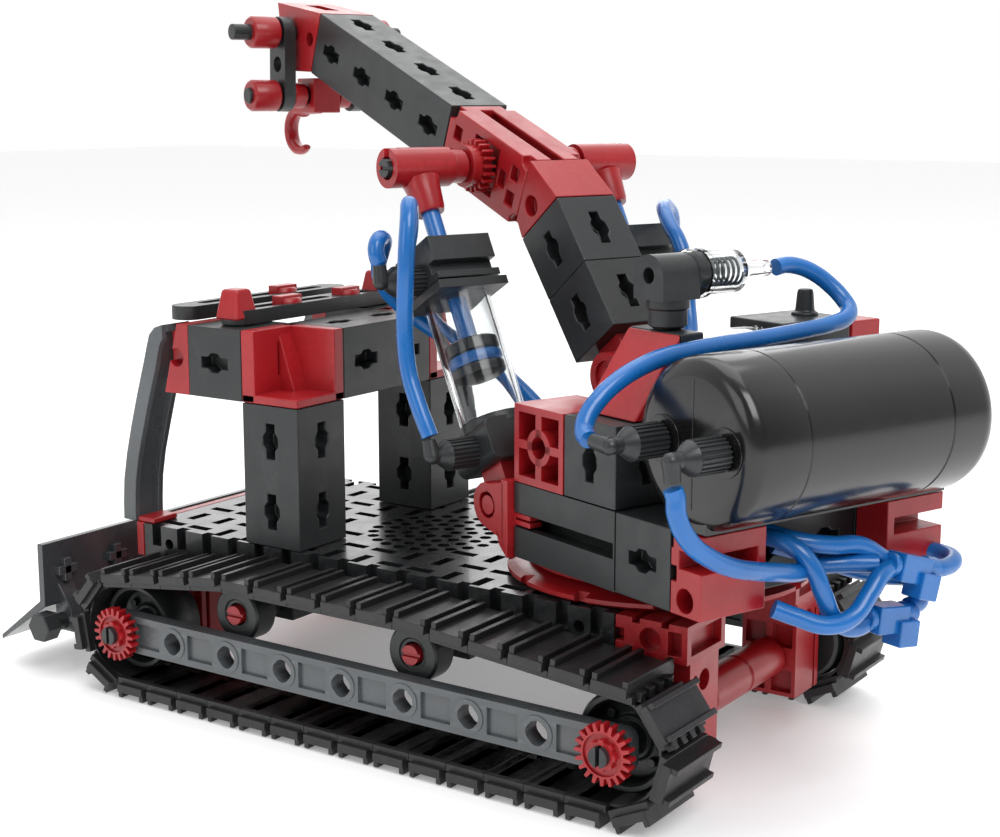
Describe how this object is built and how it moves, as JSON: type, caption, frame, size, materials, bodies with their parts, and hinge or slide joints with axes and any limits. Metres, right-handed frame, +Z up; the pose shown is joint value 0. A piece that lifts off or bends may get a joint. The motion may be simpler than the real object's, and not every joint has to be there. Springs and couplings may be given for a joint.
{
  "type": "toy hydraulic crane crawler",
  "caption": "Tracked toy crawler with a front blade, an open cab frame and a slewing two-part boom raised by two air cylinders, with tank, pump, valve, hoses and hook.",
  "frame": {"origin": "on the ground under the middle of the object's bounding box", "axes": "Z up; front of the crawler (blade) towards -Y; the crawler's left side towards +X; the boom is slewed 20 degrees at rest"},
  "size_m": [0.1247, 0.2076, 0.1483],
  "materials": {
    "red_plastic": "moulded gloss",
    "black_plastic": "moulded gloss",
    "grey_plastic": "moulded satin",
    "track_plastic": "matt moulded links",
    "blue_plastic": "soft hose and blue mouldings",
    "clear_plastic": "clear moulded cylinder"
  },
  "bodies": {
    "chassis": {"deck_plate": "black_plastic", "front_axle": "black_plastic", "rear_axle": "black_plastic", "cab_cross_beam": "black_plastic", "roof_bar_front": "black_plastic", "roof_bar_rear": "black_plastic", "front_cross_bar": "red_plastic", "front_axle_carrier": "red_plastic", "rear_axle_carrier": "red_plastic", "turntable_base": "red_plastic", "side_strut_left": "grey_plastic", "pillar_left": "grey_plastic", "cab_post_left": "black_plastic", "cab_rail_left": "black_plastic", "track_left": "track_plastic", "cab_corner_left": "red_plastic", "side_strut_right": "grey_plastic", "pillar_right": "grey_plastic", "cab_post_right": "black_plastic", "cab_rail_right": "black_plastic", "track_right": "track_plastic", "cab_corner_right": "red_plastic"},
    "slewing_body": {"turntable_top": "red_plastic", "slew_beams": "black_plastic", "tank_block_left": "red_plastic", "tank_block_right": "red_plastic", "ram_bracket_left": "red_plastic", "ram_bracket_right": "red_plastic", "boom_foot": "red_plastic", "air_tank": "black_plastic", "pump_barrel": "clear_plastic", "valve": "black_plastic", "hose_valve": "blue_plastic", "hose_tank": "blue_plastic", "hose_tee": "blue_plastic"},
    "boom": {"lower_boom": "black_plastic", "elbow_block": "red_plastic", "fore_boom": "black_plastic", "boom_tip": "red_plastic", "boom_axle": "black_plastic"},
    "pump_piston": {"pump_rod": "red_plastic"},
    "links": {"tip_links": "red_plastic"},
    "hook": {"hook": "red_plastic"},
    "blade": {"blade": "grey_plastic"},
    "ram_barrel_left": {"ram_barrel_left": "clear_plastic", "hose_ram_low": "blue_plastic", "hose_ram_high": "blue_plastic"},
    "ram_rod_left": {"ram_rod_left": "blue_plastic"},
    "wheel_front_left": {"wheel_front_left": "black_plastic"},
    "roller_front_left": {"roller_front_left": "black_plastic"},
    "wheel_rear_left": {"wheel_rear_left": "black_plastic"},
    "roller_rear_left": {"roller_rear_left": "black_plastic"},
    "ram_barrel_right": {"ram_barrel_right": "clear_plastic", "hose_ram_far": "blue_plastic"},
    "ram_rod_right": {"ram_rod_right": "blue_plastic"},
    "wheel_front_right": {"wheel_front_right": "black_plastic"},
    "roller_front_right": {"roller_front_right": "black_plastic"},
    "wheel_rear_right": {"wheel_rear_right": "black_plastic"},
    "roller_rear_right": {"roller_rear_right": "black_plastic"}
  },
  "joints": [
    {"name": "slew", "type": "hinge", "parent": "chassis", "child": "slewing_body", "pos_m": [0.00517, 0.03999, 0.037], "axis": [0, 0, 1], "continuous": true},
    {"name": "boom_lift", "type": "hinge", "parent": "slewing_body", "child": "boom", "pos_m": [0.00268, 0.03313, 0.0717], "axis": [-0.9397, 0.342, 0], "range_deg": [-16, 12]},
    {"name": "link_swing", "type": "hinge", "parent": "boom", "child": "links", "pos_m": [-0.03963, -0.08311, 0.1407], "axis": [-0.9397, 0.342, 0], "range_deg": [-18, 18]},
    {"name": "hook_swing", "type": "hinge", "parent": "links", "child": "hook", "pos_m": [-0.0398, -0.08358, 0.1257], "axis": [-0.9397, 0.342, 0], "range_deg": [-20, 20]},
    {"name": "pump_stroke", "type": "slide", "parent": "slewing_body", "child": "pump_piston", "axis": [0.9397, -0.342, 0], "range_m": [-0.005, 0.0035]},
    {"name": "blade_tilt", "type": "hinge", "parent": "chassis", "child": "blade", "pos_m": [0.00517, -0.08781, 0.011], "axis": [1, 0, 0], "range_deg": [-15, 12]},
    {"name": "ram_tilt_left", "type": "hinge", "parent": "slewing_body", "child": "ram_barrel_left", "pos_m": [0.02277, 0.01815, 0.0481], "axis": [-0.9397, 0.342, 0], "range_deg": [-13, 10]},
    {"name": "ram_extend_left", "type": "slide", "parent": "ram_barrel_left", "child": "ram_rod_left", "axis": [-0.1673, -0.4598, 0.8721], "range_m": [-0.0056, 0.0042]},
    {"name": "drive_wheel_left", "type": "hinge", "parent": "chassis", "child": "wheel_rear_left", "pos_m": [0.04117, 0.05619, 0.014], "axis": [1, 0, 0], "continuous": true},
    {"name": "idler_wheel_left", "type": "hinge", "parent": "chassis", "child": "wheel_front_left", "pos_m": [0.04117, -0.06381, 0.014], "axis": [1, 0, 0], "continuous": true},
    {"name": "return_roller_front_left", "type": "hinge", "parent": "chassis", "child": "roller_front_left", "pos_m": [0.04317, -0.03501, 0.0216], "axis": [1, 0, 0], "continuous": true},
    {"name": "return_roller_rear_left", "type": "hinge", "parent": "chassis", "child": "roller_rear_left", "pos_m": [0.04317, 0.00999, 0.0216], "axis": [1, 0, 0], "continuous": true},
    {"name": "ram_tilt_right", "type": "hinge", "parent": "slewing_body", "child": "ram_barrel_right", "pos_m": [-0.02234, 0.03457, 0.0481], "axis": [-0.9397, 0.342, 0], "range_deg": [-13, 10]},
    {"name": "ram_extend_right", "type": "slide", "parent": "ram_barrel_right", "child": "ram_rod_right", "axis": [-0.1673, -0.4598, 0.8721], "range_m": [-0.0056, 0.0042]},
    {"name": "drive_wheel_right", "type": "hinge", "parent": "chassis", "child": "wheel_rear_right", "pos_m": [-0.03083, 0.05619, 0.014], "axis": [1, 0, 0], "continuous": true},
    {"name": "idler_wheel_right", "type": "hinge", "parent": "chassis", "child": "wheel_front_right", "pos_m": [-0.03083, -0.06381, 0.014], "axis": [1, 0, 0], "continuous": true},
    {"name": "return_roller_front_right", "type": "hinge", "parent": "chassis", "child": "roller_front_right", "pos_m": [-0.03283, -0.03501, 0.0216], "axis": [1, 0, 0], "continuous": true},
    {"name": "return_roller_rear_right", "type": "hinge", "parent": "chassis", "child": "roller_rear_right", "pos_m": [-0.03283, 0.00999, 0.0216], "axis": [1, 0, 0], "continuous": true}
  ],
  "couplings": [
    {"joint": "ram_tilt_left", "follows": "boom_lift", "ratio": 0.7663},
    {"joint": "ram_extend_left", "follows": "boom_lift", "m_per_rad": 0.01847},
    {"joint": "idler_wheel_left", "follows": "drive_wheel_left", "ratio": 1},
    {"joint": "return_roller_front_left", "follows": "drive_wheel_left", "ratio": 1.6066},
    {"joint": "return_roller_rear_left", "follows": "drive_wheel_left", "ratio": 1.6066},
    {"joint": "ram_tilt_right", "follows": "boom_lift", "ratio": 0.7663},
    {"joint": "ram_extend_right", "follows": "boom_lift", "m_per_rad": 0.01847},
    {"joint": "idler_wheel_right", "follows": "drive_wheel_right", "ratio": 1},
    {"joint": "return_roller_front_right", "follows": "drive_wheel_right", "ratio": 1.6066},
    {"joint": "return_roller_rear_right", "follows": "drive_wheel_right", "ratio": 1.6066}
  ]
}
